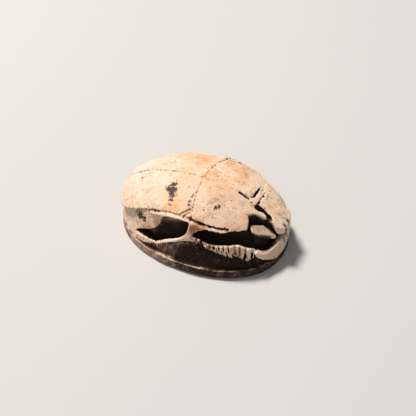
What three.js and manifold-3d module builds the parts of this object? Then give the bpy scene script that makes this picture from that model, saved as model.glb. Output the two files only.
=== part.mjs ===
import * as THREE from "three";
import { mergeVertices } from "three/addons/utils/BufferGeometryUtils.js";
import Module from "manifold-3d";

const wasm = await Module();
wasm.setup();

// A scarab amulet carved from one piece of pale steatite, lying on its flat underside.
// Millimetres. +X runs to the beetle's head, +Z is up, and the origin is the middle of the underside.
// Side shapes are drawn in the XZ plane and cut or added on both sides at once.

// Base plate, which ends a little short of the back at the tail
const LENGTH = 18;
const TAIL_OVERHANG = 0.18;
const WIDTH = 13.2;
const OUTLINE_POWER = 2.2;
const PLATE_THICKNESS = 1.05;
const PLATE_EDGE_ROUND = 0.16;

// Side wall, which leans in least at the head
const WALL_SET_BACK = 0.12;
const WALL_LEAN_SIDE = 0.32;
const WALL_LEAN_TAIL = 0.26;
const WALL_LEAN_HEAD = 0.18;
const WALL_TOP = 6;
const RECESS_DEPTH = 0.42;
const CAVITY_DEPTH = 1.3;

// Legs: thin lips that stand a little proud of the side wall, with a hollow sinking behind them
const LEG_PROUD = 0.05;
const FEET_PROUD = 0.25;
const FEET_LIP = 0.2;
const LEG_LIP = 0.28;
const LEG_ROOT = 0.3;
const WEB_SET_BACK = 0.06;
const HOLLOW_SINK = 0.85;
const HOLLOW_STEPS = 8;

// Domed back, drawn a little larger than the plate and cut off at its outline
const HEIGHT = 7.16;
const BACK_SPRING = 2.48;
const BACK_OVER_ENDS = 0.21;
const BACK_OVER_SIDES = 0.39;
const BACK_HALF_LENGTH = LENGTH / 2 + BACK_OVER_ENDS;
const BACK_HALF_WIDTH = WIDTH / 2 + BACK_OVER_SIDES;
const BACK_SHIFT = -0.12;
const BACK_RISE_POWER = 1.88;
const BACK_PLAN_POWER = 1.93;
const BACK_FORE_POWER = 1.98;
const FORE_BACK_SWELL = 0.25;

// Edge of the back: it climbs from the tail to the shoulders and falls gently to the head
const TAIL_NOTCH_HEIGHT = 1.85;
const SHOULDER_HEIGHT = 5.78;
const EDGE_CLIMB_BEND = 2.1;
const FORE_EDGE_FALL = 0.115;
const SKIRT_HEIGHT = 0.22;
const SKIRT_TAIL = -3.9;
const SKIRT_HEAD = 4.2;
const FORE_BACK_END = 5.85;

// Cut lines on the back
const LINE_DEPTH = 0.11;
const LINE_WIDTH = 0.14;
const SHOULDER_LINE_BOW = 0.026;
const SHOULDER_LINE_X = -0.1;
const EDGE_STEP = 0.55;
const SHOULDER_STEP = 0.63;

// Head, carved a little to the far side of the middle
const HEAD_OFFSET = 0.25;
const SHIELD_HALF_WIDTH = 1.3;
const NECK_X = 4.6;
const NECK_HEIGHT = 6.34;
const HEAD_SLOPE = 0.37;
const HEAD_BEND = 0.03;
const HEAD_FRONT = LENGTH / 2;
const CLYPEUS_HALF_WIDTH = 1.6;
const CLYPEUS_THICKNESS = 0.75;
const CHEEK_DROP = 0.45;
const CHEEK_FALL = 0.18;
const CHEEK_THICKNESS = 0.45;
const FAR_CHEEK_DROP = 0.25;
const FAR_CHEEK_THICKNESS = 2.4;
const FAR_CHEEK_PROUD = 0.1;
const CHEEK_PROUD = 0.15;
const NECK_GAP_FLOOR = 4.1;
const FAR_GAP_FLOOR = 4.8;
const NOTCH_FLOOR = 3.3;
const NECK_LINE_DEPTH = 0.2;
const SHIELD_GROOVE_DEPTH = 0.5;

// Fringe of the forelegs
const FRINGE_COUNT = 12;
const FRINGE_PITCH = 0.45;
const FRINGE_DEPTH = 0.17;
const FRINGE_WIDTH = 0.2;
const FRINGE_START = 1.8;
const FRINGE_LOW = 3.1;
const FRINGE_FALL = 0.3;
const FRINGE_REACH = 1.9;
const FRINGE_LEAN = 0.95;
const FRINGE_UNEVEN = 0.05;

// String hole, drilled through from end to end
const HOLE_DIAMETER = 1.4;
const HOLE_TAIL_HEIGHT = 2.0;
const HOLE_HEAD_HEIGHT = 3.0;

const ROUND_STEPS = 58;
const BACK_STEPS = 11;

function solid(geometry) {
  const bare = geometry.clone();
  bare.deleteAttribute("normal");
  bare.deleteAttribute("uv");
  const merged = mergeVertices(bare, 1e-4);
  return new wasm.Manifold(
    new wasm.Mesh({
      numProp: 3,
      vertProperties: merged.attributes.position.array,
      triVerts: new Uint32Array(merged.index.array),
    }),
  );
}

function powered(value, power) {
  return Math.sign(value) * Math.abs(value) ** power;
}

// A point of an oval with the given half sizes, at an angle from +X
function ovalPoint(angle, halfLength, halfWidth, power) {
  return [
    halfLength * powered(Math.cos(angle), 2 / power),
    halfWidth * powered(Math.sin(angle), 2 / power),
  ];
}

// A closed form of ovals, one for each level: { z, shift, halfLength, halfWidth }
function ovalForm(levels, pointAt) {
  const profile = [new THREE.Vector2(0, 0)];
  levels.forEach((level, i) => profile.push(new THREE.Vector2(1, i)));
  profile.push(new THREE.Vector2(0, levels.length - 1));
  const form = new THREE.LatheGeometry(profile, ROUND_STEPS);
  const p = form.attributes.position;
  for (let i = 0; i < p.count; i++) {
    const level = levels[Math.round(p.getY(i))];
    const out = Math.hypot(p.getX(i), p.getZ(i));
    const angle = Math.atan2(-p.getZ(i), p.getX(i));
    const [x, y] = out > 0.5 ? pointAt(angle, level) : [0, 0];
    p.setXYZ(i, level.shift + x, y, level.z);
  }
  return solid(form);
}

// The oval of the side wall at a height, moved in by a depth
function wallLevel(z, depth) {
  const rise = Math.max(z - PLATE_THICKNESS, 0);
  const leanEnds = (WALL_LEAN_TAIL + WALL_LEAN_HEAD) / 2;
  return {
    z,
    shift: TAIL_OVERHANG / 2 + ((WALL_LEAN_TAIL - WALL_LEAN_HEAD) / 2) * rise,
    halfLength: (LENGTH - TAIL_OVERHANG) / 2 - WALL_SET_BACK - leanEnds * rise - depth,
    halfWidth: WIDTH / 2 - WALL_SET_BACK - WALL_LEAN_SIDE * rise - depth,
  };
}

// The side wall, moved in by a depth
function wallForm(depth) {
  const levels = [PLATE_THICKNESS / 2, PLATE_THICKNESS, WALL_TOP].map((z) => wallLevel(z, depth));
  return ovalForm(levels, (angle, { halfLength, halfWidth }) =>
    ovalPoint(angle, halfLength, halfWidth, OUTLINE_POWER));
}

// A point of one of the back's ovals: the fore back is fuller, and swells out on its far side
function backPoint(angle, { halfLength, halfWidth }) {
  const power = Math.cos(angle) > 0 ? BACK_FORE_POWER : BACK_PLAN_POWER;
  const [x, y] = ovalPoint(angle, halfLength, halfWidth, power);
  const share = THREE.MathUtils.smoothstep(x, -0.3, 0.9) * THREE.MathUtils.smoothstep(y, 0, 2);
  return [x, y + FORE_BACK_SWELL * share];
}

// The domed back, moved in by a depth, with upright sides below its widest level
function backForm(depth) {
  const levels = [];
  for (let i = 0; i <= BACK_STEPS; i++) {
    const rise = Math.sin((i / BACK_STEPS) * (Math.PI / 2));
    const spread = Math.max(1 - rise ** BACK_RISE_POWER, 1e-5) ** (1 / BACK_RISE_POWER);
    levels.push({
      z: BACK_SPRING + (HEIGHT - depth - BACK_SPRING) * rise,
      shift: BACK_SHIFT,
      halfLength: (BACK_HALF_LENGTH - depth) * spread,
      halfWidth: (BACK_HALF_WIDTH - depth) * spread,
    });
  }
  return ovalForm([{ ...levels[0], z: 0 }, ...levels], backPoint);
}

function outline(points) {
  return new THREE.Shape(points.map(([x, y]) => new THREE.Vector2(x, y)));
}

// A smooth closed outline through a few points
function softOutline(points, steps = 4) {
  const through = points.map(([x, y]) => new THREE.Vector3(x, y, 0));
  const curve = new THREE.CatmullRomCurve3(through, true, "centripetal");
  return new THREE.Shape(
    curve.getPoints(points.length * steps).slice(0, -1).map((p) => new THREE.Vector2(p.x, p.y)),
  );
}

// An outline in the XZ plane, run across the whole width
function acrossBar(shape, steps) {
  const bar = new THREE.ExtrudeGeometry(shape, { depth: WIDTH, steps, bevelEnabled: false });
  bar.rotateX(Math.PI / 2);
  bar.translate(0, WIDTH / 2, 0);
  return bar;
}

function across(shape) {
  return solid(acrossBar(shape, 1));
}

// An outline in plan, run upward between two heights
function upward(shape, low, high) {
  const bar = new THREE.ExtrudeGeometry(shape, { depth: high - low, bevelEnabled: false });
  bar.translate(0, 0, low);
  return solid(bar);
}

// How far the side wall stands from the middle plane, at a place along the length and a height
function wallReach(x, z) {
  const { shift, halfLength, halfWidth } = wallLevel(z, 0);
  const share = Math.min(Math.abs(x - shift) / halfLength, 1);
  return halfWidth * (1 - share ** OUTLINE_POWER) ** (1 / OUTLINE_POWER);
}

// A hollow in both sides of the wall, with the given outline at the face and sinking further in
function hollow(shape) {
  const bar = acrossBar(shape, HOLLOW_STEPS);
  const p = bar.attributes.position;
  for (let i = 0; i < p.count; i++) {
    const depth = wallReach(p.getX(i), p.getZ(i)) - Math.abs(p.getY(i));
    const share = THREE.MathUtils.clamp((depth - LEG_LIP) / (CAVITY_DEPTH - LEG_LIP), 0, 1);
    p.setZ(i, p.getZ(i) - HOLLOW_SINK * share);
  }
  return solid(bar).subtract(wallForm(CAVITY_DEPTH));
}

// The part of the side wall inside an outline, between two depths and no higher than the back
function onWall(shape, outer, inner) {
  return wallForm(outer).intersect(backForm(0)).subtract(wallForm(inner)).intersect(across(shape));
}

// The height of the line that borders the back, along the length
function edgeHeight(x) {
  if (x >= 0) return SHOULDER_HEIGHT - FORE_EDGE_FALL * x;
  const reach = Math.min(-x / BACK_HALF_LENGTH, 1);
  return SHOULDER_HEIGHT - (SHOULDER_HEIGHT - TAIL_NOTCH_HEIGHT) * reach ** EDGE_CLIMB_BEND;
}

// The same line dropped by the skirt's height, where there is a skirt
function skirtHeight(x) {
  const fade = THREE.MathUtils.smoothstep(x, SKIRT_TAIL - 0.6, SKIRT_TAIL + 0.4)
    * (1 - THREE.MathUtils.smoothstep(x, SKIRT_HEAD - 0.4, SKIRT_HEAD + 0.6));
  return edgeHeight(x) - SKIRT_HEIGHT * fade;
}

function along(from, to, step, at) {
  const count = Math.round((to - from) / step);
  return Array.from({ length: count + 1 }, (_, i) => at(from + ((to - from) * i) / count));
}

// The outline of the scarab in plan, cut short at the tail by a length
function rim(tailCut) {
  const halfLength = (LENGTH - tailCut) / 2;
  return outline(Array.from({ length: ROUND_STEPS }, (_, i) => {
    const angle = (i / ROUND_STEPS) * 2 * Math.PI;
    const [x, y] = ovalPoint(angle, halfLength, WIDTH / 2, OUTLINE_POWER);
    return [x + tailCut / 2, y];
  }));
}

function plate() {
  const slab = new THREE.ExtrudeGeometry(rim(TAIL_OVERHANG), {
    depth: PLATE_THICKNESS - 2 * PLATE_EDGE_ROUND,
    bevelThickness: PLATE_EDGE_ROUND,
    bevelSize: PLATE_EDGE_ROUND,
    bevelOffset: -PLATE_EDGE_ROUND,
    bevelSegments: 2,
  });
  slab.translate(0, 0, PLATE_EDGE_ROUND);
  return solid(slab);
}

// Wing cases and fore back: the dome above its edge line
function back() {
  const top = HEIGHT + 1;
  const edge = along(-LENGTH / 2 - 0.5, FORE_BACK_END, EDGE_STEP, (x) => [x, skirtHeight(x)]);
  const above = [...edge, [FORE_BACK_END, top], [-LENGTH / 2 - 0.5, top]];
  return backForm(0).intersect(across(outline(above))).intersect(upward(rim(0), 0, top));
}

// Lines cut into the dome: the middle seam, the shoulder line and the edge line
function backLines() {
  const keep = backForm(LINE_DEPTH);
  const half = LINE_WIDTH / 2;
  const seam = outline([[-LENGTH, -half], [0.2, -half], [1.1, 0], [0.2, half], [-LENGTH, half]]);
  const foreSeam = outline([[2.4, 0], [4, -half * 0.6], [5.2, -half], [5.2, half], [4, half * 0.6]]);
  const shoulderAt = (y) => SHOULDER_LINE_X + SHOULDER_LINE_BOW * y * y;
  const shoulder = outline([
    ...along(-WIDTH / 2, WIDTH / 2, SHOULDER_STEP, (y) => [shoulderAt(y) + half, y]),
    ...along(-WIDTH / 2, WIDTH / 2, SHOULDER_STEP, (y) => [shoulderAt(y) - half, y]).reverse(),
  ]);
  const edge = outline([
    ...along(-LENGTH / 2 - 0.3, SKIRT_HEAD, EDGE_STEP, (x) => [x, edgeHeight(x) - half]),
    ...along(-LENGTH / 2 - 0.3, SKIRT_HEAD, EDGE_STEP, (x) => [x, edgeHeight(x) + half]).reverse(),
  ]);
  return [
    upward(seam, BACK_SPRING, HEIGHT + 1),
    upward(foreSeam, BACK_SPRING, HEIGHT + 1),
    upward(shoulder, SHOULDER_HEIGHT - SKIRT_HEIGHT, HEIGHT + 1),
    across(edge),
  ].map((cut) => cut.subtract(keep));
}

// Hind leg: a thin ridge that climbs from the plate to the shoulder
function hindLeg() {
  return onWall(softOutline([
    [-5.6, 1.7], [-4.76, 1.85], [-4.01, 1.98], [-3.01, 2.16], [-2.38, 2.5], [-1.44, 2.98],
    [-0.56, 3.5], [0, 4.0], [0.34, 4.6], [0.5, 5.75], [0.82, 5.75], [0.74, 4.8],
    [0.98, 4.05], [0.57, 3.8], [0.08, 3.52], [-0.5, 3.24], [-1.7, 2.65], [-2.63, 2.07],
    [-3.63, 1.56], [-4.35, 1.34], [-5.2, 1.2],
  ], 2), -LEG_PROUD, LEG_LIP);
}

// The sloping web that ties the shoulder to the fore back
function shoulderWeb() {
  const web = [[0.5, 5.7], [0.6, 4.2], [0.95, 4.45], [1.6, 5], [2.4, 5.35], [2.4, 5.7]];
  return onWall(outline(web), WEB_SET_BACK, CAVITY_DEPTH + LEG_ROOT);
}

function foreLegShape() {
  return softOutline([
    [0.93, 4.1], [2.05, 3.95], [2.61, 3.75], [3.73, 3.76], [4.89, 3.86], [5.4, 3.86],
    [5.74, 3.72], [6.15, 3.45], [6.78, 3.2], [6.95, 2.9], [6.86, 2.12], [6.11, 2.13],
    [5.68, 2.3], [4.97, 2.57], [4.23, 2.85], [3.49, 3.07], [2.71, 3.27], [1.89, 3.55], [1.1, 3.6],
  ], 2);
}

// Foreleg: a blade that widens to the head, with slanted strokes for its fringe
function foreLeg() {
  const blade = onWall(foreLegShape(), -LEG_PROUD, LEG_LIP);
  const strokes = [];
  for (let i = 0; i < FRINGE_COUNT; i++) {
    const uneven = FRINGE_UNEVEN * Math.sin(i * i);
    const x = FRINGE_START + i * FRINGE_PITCH + uneven;
    const lean = FRINGE_LEAN * (1 - i / FRINGE_COUNT);
    const half = (FRINGE_WIDTH + uneven) / 2;
    const low = FRINGE_LOW - FRINGE_FALL * (x - FRINGE_START);
    strokes.push(outline([
      [x + half, low], [x - half, low], [x - half - lean, low + FRINGE_REACH],
      [x + half - lean, low + FRINGE_REACH],
    ]));
  }
  const keep = wallForm(FRINGE_DEPTH);
  return strokes.reduce((leg, stroke) => leg.subtract(across(stroke).subtract(keep)), blade);
}

// Front feet: a lip that wraps the front of the plate under the head, on a root that rises forward
function frontFeet() {
  const front = LENGTH / 2;
  const shape = softOutline([
    [front - 1.92, 3.0], [front - 1.5, 2.65], [front - 1.05, 2.5], [front - 0.6, 2.65],
    [front + 0.2, 3.0], [front + 0.6, 1.2], [front - 0.5, 1.15], [front - 1.07, 1.75],
    [front - 1.57, 2.25], [front - 1.9, 2.7],
  ], 3);
  const root = across(outline([
    [front - 2, 1.1], [front - 2, 2.2], [front - 1, 2.2], [front - 0.75, 2.6],
    [front + 0.6, 2.9], [front + 0.6, 1.1],
  ]));
  return onWall(shape, -FEET_PROUD, RECESS_DEPTH + LEG_ROOT)
    .intersect(root)
    .add(onWall(shape, -FEET_PROUD, FEET_LIP))
    .intersect(upward(rim(0), 0, HEIGHT));
}

// The height of the head's top along the middle
function headTop(x) {
  const run = x - NECK_X;
  return NECK_HEIGHT - HEAD_SLOPE * run - HEAD_BEND * run * run;
}

// A layer under the head's top, dropped by a height that may grow to the front
function headLayer(drop, thickness, fall = 0) {
  const end = HEAD_FRONT + 0.5;
  const top = (x) => headTop(x) - drop - fall * (x - NECK_X);
  return across(outline([
    ...along(NECK_X, end, 0.6, (x) => [x, top(x) - thickness]),
    ...along(NECK_X, end, 0.6, (x) => [x, top(x)]).reverse(),
  ]));
}

// An outline in plan on the near side of the head, measured from its middle line
function nearPlan(points) {
  return outline(points.map(([x, y]) => [x, HEAD_OFFSET - y]));
}

// An outline in plan on the far side of the head, measured from its middle line
function farPlan(points) {
  return outline(points.map(([x, y]) => [x, HEAD_OFFSET + y]));
}

// An outline in plan that is the same on both sides of the head's middle line
function mirrored(points) {
  return outline([...points, ...points.map(([x, y]) => [x, -y]).reverse()]
    .map(([x, y]) => [x, y + HEAD_OFFSET]));
}

// The near cheek: a thin tongue that points forward, on a narrower foot
function nearCheek() {
  const tongue = nearPlan([
    [5.85, 2.75], [6.77, 1.65], [7.45, 1.42], [8.25, 1.45], [8.2, 1.7], [7.45, 2.48], [6.85, 3.05],
    [6.24, 3.27],
  ]);
  const foot = nearPlan([
    [6.05, 2.7], [6.8, 1.85], [7.5, 1.6], [7.6, 1.8], [7.2, 2.3], [6.7, 2.7], [6.3, 2.95],
  ]);
  const top = headLayer(CHEEK_DROP, CHEEK_THICKNESS, CHEEK_FALL).intersect(backForm(-CHEEK_PROUD));
  const under = headLayer(CHEEK_DROP + CHEEK_THICKNESS / 2, HEIGHT, CHEEK_FALL);
  return upward(tongue, 1, HEIGHT).intersect(top)
    .add(upward(foot, PLATE_THICKNESS / 2, HEIGHT).intersect(under));
}

// The far cheek: wider and flatter, close up against the shield
function farCheek() {
  const w = SHIELD_HALF_WIDTH;
  const plan = farPlan([
    [5.4, w - 0.1], [5.5, 3.5], [6.3, 3.15], [7.0, 2.9], [7.6, 2.5], [8.2, 1.95], [8.6, 1.5],
    [8.3, w - 0.1],
  ]);
  return upward(plan, 1, HEIGHT)
    .intersect(headLayer(FAR_CHEEK_DROP, FAR_CHEEK_THICKNESS))
    .intersect(backForm(-FAR_CHEEK_PROUD));
}

// Head: a narrow shield with a wider front edge, and a cheek on each side
function head() {
  const w = SHIELD_HALF_WIDTH;
  const c = CLYPEUS_HALF_WIDTH;
  const shieldPlan = mirrored([
    [NECK_X + 0.1, -w], [5.55, -w], [5.75, -w - 0.4], [6.3, -w - 0.2], [7.0, -w], [7.5, -w + 0.1],
    [7.95, -c + 0.2], [HEAD_FRONT - 0.65, -c], [HEAD_FRONT - 0.36, -c + 0.2],
    [HEAD_FRONT - 0.12, -1.0], [HEAD_FRONT, -0.5],
  ]);
  const shield = upward(shieldPlan, 1, HEIGHT).intersect(headLayer(0, CLYPEUS_THICKNESS));
  const stem = upward(mirrored([[NECK_X + 0.1, -w], [7.4, -w + 0.2]]), 1, HEIGHT)
    .intersect(headLayer(0.3, 2.6));
  return shield.add(stem).add(nearCheek()).add(farCheek());
}

// The deep gap between the near cheek and the shield, and the shallow one on the far side
function neckGaps() {
  const w = SHIELD_HALF_WIDTH;
  const outer = [[5.62, w + 1.25], [5.82, w + 2.1], [6.2, w + 3.6], [LENGTH, w + 3.6], [LENGTH, w]];
  const near = [[7.0, w], [6.3, w + 0.2], [5.8, w + 0.4], [5.4, w + 0.85], ...outer];
  const far = [[5.35, w], [5.45, w + 0.5], ...outer];
  return [
    upward(nearPlan(near), NECK_GAP_FLOOR, HEIGHT + 1),
    upward(farPlan(far), FAR_GAP_FLOOR, HEIGHT + 1),
  ];
}

// Grooves of the head: a deep one beside the near edge of the shield, the neck lines and the notches
function headLines() {
  const w = SHIELD_HALF_WIDTH;
  const groove = upward(nearPlan([
    [5.68, w - 0.66], [6.2, w - 0.4], [6.9, w - 0.3], [7.55, w - 0.4], [7.0, w - 0.66],
    [6.3, w - 0.82],
  ]), 1, HEIGHT + 1).subtract(headLayer(SHIELD_GROOVE_DEPTH, HEIGHT));
  const neck = [[5.04, 0.35, 2.1], [5.68, -0.3, 1.75]].map(([x, from, to]) => upward(outline([
    [x, from], [x + 0.12, from], [x + 0.22, to], [x + 0.12, to],
  ]), 1, HEIGHT + 1).subtract(headLayer(NECK_LINE_DEPTH, HEIGHT)));
  const notches = [-0.3, 0.5].map((at) => upward(outline([
    [HEAD_FRONT - 0.5, at], [HEAD_FRONT - 0.3, at - 0.14], [LENGTH, at - 0.2],
    [LENGTH, at + 0.2], [HEAD_FRONT - 0.3, at + 0.14],
  ]), NOTCH_FLOOR, HEIGHT));
  return [groove, ...neck, ...notches];
}

// The deep hollow between the fore back and the foreleg, which runs on under the head
function foreHollow() {
  return hollow(outline([
    [0.9, 3.95], [2.05, 3.75], [2.9, 3.5], [3.7, 3.35], [5.0, 3.05], [6.0, 2.75], [6.9, 2.35],
    [7.9, 2.35], [LENGTH, 2.35], [LENGTH, 7], [FORE_BACK_END, 7], [FORE_BACK_END, 5.3], [0.9, 5.9],
  ]));
}

// The hollow above the hind leg, with a groove that runs on to the tail
function hindHollow() {
  return hollow(softOutline([
    [-5.65, 1.85], [-4.3, 1.85], [-3, 2.05], [-1.4, 2.85], [-0.1, 3.8], [0.46, 4.7], [0.46, 5.75],
    [-1.1, 5.65], [-2.45, 5.2], [-2.72, 4.2], [-3.3, 3.45], [-4.3, 2.75],
  ], 2));
}

// The low recess between the legs and the plate
function lowRecess() {
  return across(softOutline([
    [-5.6, 1.1], [-4.4, 1.42], [-3.63, 1.62], [-2.63, 2.05], [-1.7, 2.55], [0, 3.4], [1.1, 3.65],
    [2.0, 3.5], [2.7, 3.22], [4.2, 2.75], [5.7, 2.3], [6.6, 2.1], [7.05, 2.45], [7.7, 2.2],
    [8.3, 1.75], [LENGTH, 1.6], [LENGTH, PLATE_THICKNESS], [2, PLATE_THICKNESS],
  ], 2)).subtract(wallForm(RECESS_DEPTH));
}

function stringHole() {
  const slope = Math.atan2(HOLE_HEAD_HEIGHT - HOLE_TAIL_HEIGHT, LENGTH);
  const drill = new THREE.CylinderGeometry(HOLE_DIAMETER / 2, HOLE_DIAMETER / 2, LENGTH + 2, 24);
  drill.rotateZ(-Math.PI / 2);
  drill.rotateY(-slope);
  drill.translate(0, 0, (HOLE_HEAD_HEIGHT + HOLE_TAIL_HEIGHT) / 2);
  return solid(drill);
}

function scarab() {
  let body = wallForm(0)
    .intersect(backForm(0))
    .subtract(foreHollow())
    .subtract(hindHollow())
    .subtract(lowRecess())
    .add(back());
  for (const gap of neckGaps()) body = body.subtract(gap);
  body = body
    .add(hindLeg())
    .add(shoulderWeb())
    .add(foreLeg())
    .add(frontFeet())
    .add(plate())
    .add(head());
  for (const cut of [...backLines(), ...headLines()]) body = body.subtract(cut);
  return body.subtract(stringHole());
}

function meshOf(name, form, material) {
  const { vertProperties, triVerts } = form.getMesh();
  const geometry = new THREE.BufferGeometry();
  geometry.setAttribute("position", new THREE.BufferAttribute(vertProperties, 3));
  geometry.setIndex(new THREE.BufferAttribute(triVerts, 1));
  geometry.computeVertexNormals();
  const mesh = new THREE.Mesh(geometry, material);
  mesh.name = name;
  return mesh;
}

const steatite = new THREE.MeshStandardMaterial({ color: 0xd9b78c, roughness: 0.75, metalness: 0 });

const group = new THREE.Group();
group.add(meshOf("scarab_amulet", scarab(), steatite));

export default group;
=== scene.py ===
"""A scarab amulet carved from one piece of pale steatite, lying on its flat underside.

Shapes are worked out in millimetres, and the finished stone is brought to metres at the end.
+X runs to the beetle's head, +Z is up, and the near side is -Y.
"""
import math
from types import SimpleNamespace

import bpy
import numpy as np
from mathutils import Matrix, Vector
from mathutils.bvhtree import BVHTree


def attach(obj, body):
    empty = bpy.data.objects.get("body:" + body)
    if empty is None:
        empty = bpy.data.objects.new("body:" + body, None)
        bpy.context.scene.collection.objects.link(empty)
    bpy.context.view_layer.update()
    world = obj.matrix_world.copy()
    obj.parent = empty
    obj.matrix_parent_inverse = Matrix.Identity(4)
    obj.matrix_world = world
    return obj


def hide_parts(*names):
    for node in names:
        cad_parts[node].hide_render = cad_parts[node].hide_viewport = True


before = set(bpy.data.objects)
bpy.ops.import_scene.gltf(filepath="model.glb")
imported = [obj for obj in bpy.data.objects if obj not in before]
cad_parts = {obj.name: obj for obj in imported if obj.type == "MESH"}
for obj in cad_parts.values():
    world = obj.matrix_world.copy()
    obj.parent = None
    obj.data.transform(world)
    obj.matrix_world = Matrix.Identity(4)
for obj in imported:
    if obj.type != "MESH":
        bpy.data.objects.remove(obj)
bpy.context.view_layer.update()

MM = 0.001

# The main view: angles in degrees, lengths in millimetres
VIEW_AZIMUTH = 22.5
VIEW_ELEVATION = 45.8
VIEW_ROLL = 1.0
VIEW_ANGLE = 26.0
VIEW_WIDTH = 43.9
VIEW_SLIDE = (-0.31, -1.94)
SENSOR_WIDTH = 36
NEAREST_SEEN = 0.001

# Lights: azimuth and elevation in degrees, distance and size in metres, power in watts, colour
LIGHTS = {
    "key light": (-104, 64, 0.35, 0.07, 1.5, (1.0, 0.95, 0.89)),
    "soft front light": (20, 50, 0.4, 0.3, 0.2, (1.0, 0.96, 0.92)),
}
LIGHT_AIM = Vector((0, 0, 0.003))
SKY_COLOUR = (0.9, 0.92, 1.0, 1)
SKY_STRENGTH = 0.14
FLOOR_HALF = 0.6
FLOOR_COLOUR = (0.62, 0.61, 0.6, 1)
FLOOR_ROUGHNESS = 0.9

# The stone's own sizes, as in the solid
LENGTH = 18.0
TAIL_OVERHANG = 0.18
WIDTH = 13.2
OUTLINE_POWER = 2.2
PLATE_THICKNESS = 1.05
WALL_SET_BACK = 0.12
WALL_LEAN_SIDE = 0.32
WALL_LEAN_TAIL = 0.26
WALL_LEAN_HEAD = 0.18
HEIGHT = 7.16
BACK_SPRING = 2.48
BACK_HALF_LENGTH = 9.21
BACK_HALF_WIDTH = 6.99
BACK_SHIFT = -0.12
BACK_POWER = 1.9
TAIL_NOTCH_HEIGHT = 1.85
SHOULDER_HEIGHT = 5.78
EDGE_CLIMB_BEND = 2.1
FORE_EDGE_FALL = 0.115
SHOULDER_LINE_X = -0.1
SHOULDER_LINE_BOW = 0.026
FORE_BACK_END = 5.85
NECK_X = 4.6
NECK_HEIGHT = 6.34
HEAD_SLOPE = 0.37
HEAD_BEND = 0.03
FRINGE_COUNT = 12
FRINGE_PITCH = 0.45
FRINGE_START = 1.8
FRINGE_LOW = 3.1
FRINGE_FALL = 0.3
FRINGE_DROP = 0.25
FRINGE_RISE = 1.3
FRINGE_LEAN = 0.95
FRINGE_UNEVEN = 0.05

# How fine the stone's surface is
GRID = 0.06
RAYS = 16
MOST_TRIANGLES = 190000

# Wear, unevenness and the search for hollows: lengths in millimetres
EDGE_WEAR = 0.75
WEAR_ROUNDS = (14, 5)
MOST_WEAR = 0.25
UNWORN_FOOT = (0.02, 0.2)
HAND_WAVES = ((0.03, 3.2, 11), (0.014, 1.1, 12))
STEADY_FOOT = (0.05, 0.5)
WAVE_COUNT = 14
SHELTER_REACH = 2.6
SHELTER_LIFT = 0.08
SHELTER_THINNING = 0.12
BROAD_ROUNDS = 26
FULL_RISE = 0.12
FULL_CUT = 0.1
MOST_SUNK = 2
TINY = 1e-6
SEED = 7


class Wire:
    """A value inside a node tree. Arithmetic on it adds the tree's Math nodes."""

    def __init__(self, tree, socket):
        self.tree = tree
        self.socket = socket

    def math(self, operation, *others):
        values = dict(enumerate((self, *others)))
        return node(self.tree, "ShaderNodeMath", {"operation": operation}, values)[0]

    def __add__(self, other):
        return self.math("ADD", other)

    __radd__ = __add__

    def __mul__(self, other):
        return self.math("MULTIPLY", other)

    def __sub__(self, other):
        return self.math("SUBTRACT", other)

    def __rsub__(self, other):
        return (self * -1) + other

    def __truediv__(self, other):
        return self.math("DIVIDE", other)

    def larger(self, other):
        return self.math("MAXIMUM", other)

    def smaller(self, other):
        return self.math("MINIMUM", other)

    def held(self):
        """Kept between 0 and 1."""
        return self.larger(0.0).smaller(1.0)

    def step(self, low, high):
        """0 below low, 1 above high and a soft change between them."""
        t = ((self - low) * (1.0 / (high - low))).held()
        return t * t * (3.0 - t * 2.0)


def node(tree, kind, settings=None, values=None):
    """Adds a node, sets it up, and gives its outputs as wires."""
    made = tree.nodes.new(kind)
    for name, value in (settings or {}).items():
        setattr(made, name, value)
    for name, value in (values or {}).items():
        socket = made.inputs[name]
        if isinstance(value, Wire):
            tree.links.new(value.socket, socket)
        else:
            socket.default_value = value
    return Outputs(tree, made)


class Outputs:
    """A node's outputs, by name or by number."""

    def __init__(self, tree, made):
        self.tree = tree
        self.made = made

    def __getitem__(self, key):
        return Wire(self.tree, self.made.outputs[key])


# Camera, floor and light

def view_axes():
    """Level and rising directions, then the camera's own right, up and backward ones."""
    a, e, r = map(math.radians, (VIEW_AZIMUTH, VIEW_ELEVATION, VIEW_ROLL))
    back = Vector((math.sin(a) * math.cos(e), -math.cos(a) * math.cos(e), math.sin(e)))
    level = Vector((math.cos(a), math.sin(a), 0))
    rise = back.cross(level)
    right = level * math.cos(r) + rise * math.sin(r)
    up = rise * math.cos(r) - level * math.sin(r)
    return level, rise, right, up, back


def place_camera():
    level, rise, right, up, back = view_axes()
    half = math.tan(math.radians(VIEW_ANGLE / 2))
    distance = VIEW_WIDTH / (2 * half)
    spot = (back * distance - level * VIEW_SLIDE[0] - rise * VIEW_SLIDE[1]) * MM
    camera = bpy.data.cameras.new("camera")
    camera.sensor_width = SENSOR_WIDTH
    camera.lens = SENSOR_WIDTH / 2 / half
    camera.clip_start = NEAREST_SEEN
    stand = bpy.data.objects.new("camera", camera)
    stand.matrix_world = Matrix.Translation(spot) @ Matrix((right, up, back)).transposed().to_4x4()
    bpy.context.scene.collection.objects.link(stand)
    bpy.context.scene.camera = stand


def area_light(name, azimuth, elevation, distance, size, power, colour):
    """A soft square light that looks at the stone; azimuth 0 is in front, at -Y."""
    a, e = math.radians(azimuth), math.radians(elevation)
    back = Vector((math.sin(a) * math.cos(e), -math.cos(a) * math.cos(e), math.sin(e)))
    light = bpy.data.lights.new(name, "AREA")
    light.size = size
    light.energy = power
    light.color = colour
    stand = bpy.data.objects.new(name, light)
    aim = back.to_track_quat("Z", "Y").to_matrix().to_4x4()
    stand.matrix_world = Matrix.Translation(back * distance + LIGHT_AIM) @ aim
    bpy.context.scene.collection.objects.link(stand)


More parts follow.
